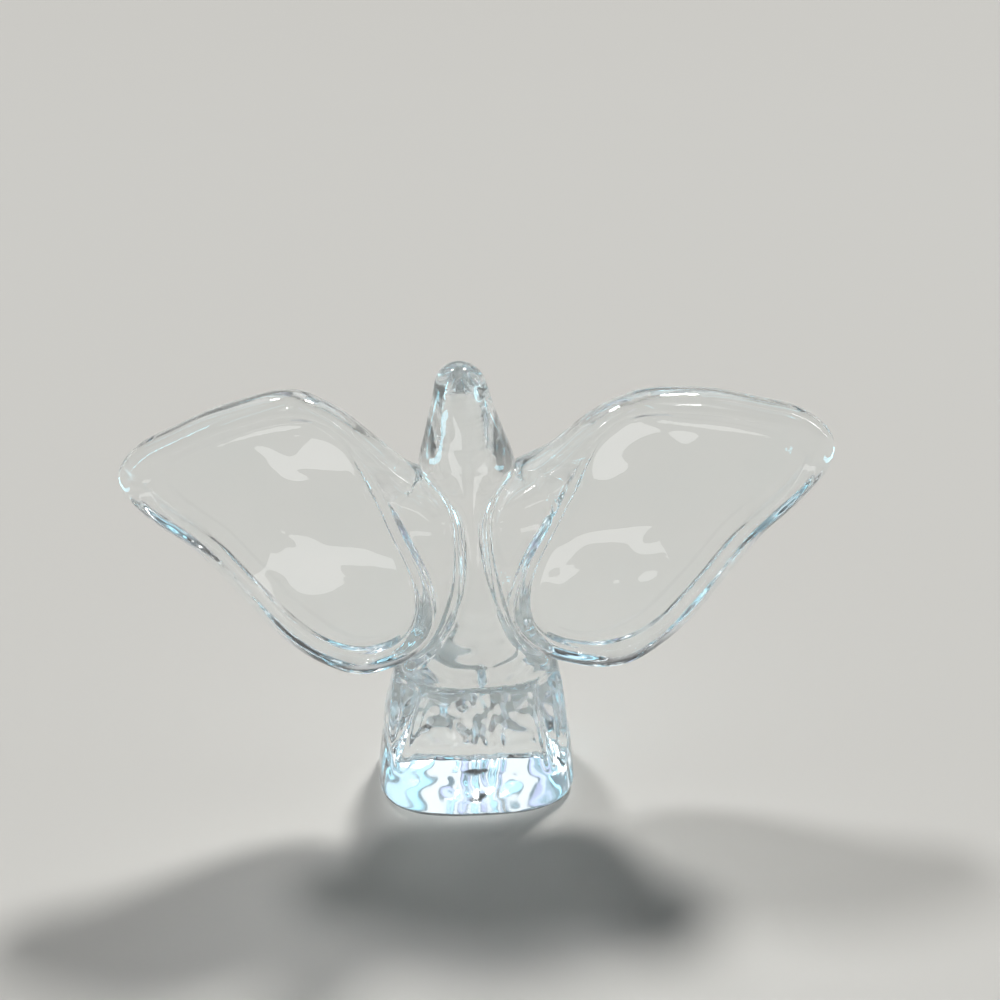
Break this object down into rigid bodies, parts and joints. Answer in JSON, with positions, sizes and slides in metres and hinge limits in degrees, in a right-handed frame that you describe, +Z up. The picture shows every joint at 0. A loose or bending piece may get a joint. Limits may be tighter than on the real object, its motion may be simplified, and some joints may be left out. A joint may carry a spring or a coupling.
{
  "type": "glass bird figurine",
  "caption": "Clear crystal bird with raised, spread wings on a flared solid foot, a free-standing ornament hand formed from hot-joined gathers of glass.",
  "frame": {"origin": "middle of the whole bird's outline seen from above, on the surface that it stands on", "axes": "+Z up, +X from the left wing to the right wing as seen from the front, -Y is the way the beak points"},
  "size_m": [0.1572, 0.035, 0.1122],
  "materials": {
    "foot_crystal": "fire-polished, with a ground and polished underside",
    "torso_crystal": "fire-polished",
    "head_crystal": "fire-polished",
    "left_wing_crystal": "fire-polished, with a pressed panel",
    "right_wing_crystal": "fire-polished, with a pressed panel"
  },
  "bodies": {
    "root": {"foot": "foot_crystal", "torso": "torso_crystal", "head": "head_crystal", "left_wing": "left_wing_crystal", "right_wing": "right_wing_crystal"}
  },
  "joints": []
}
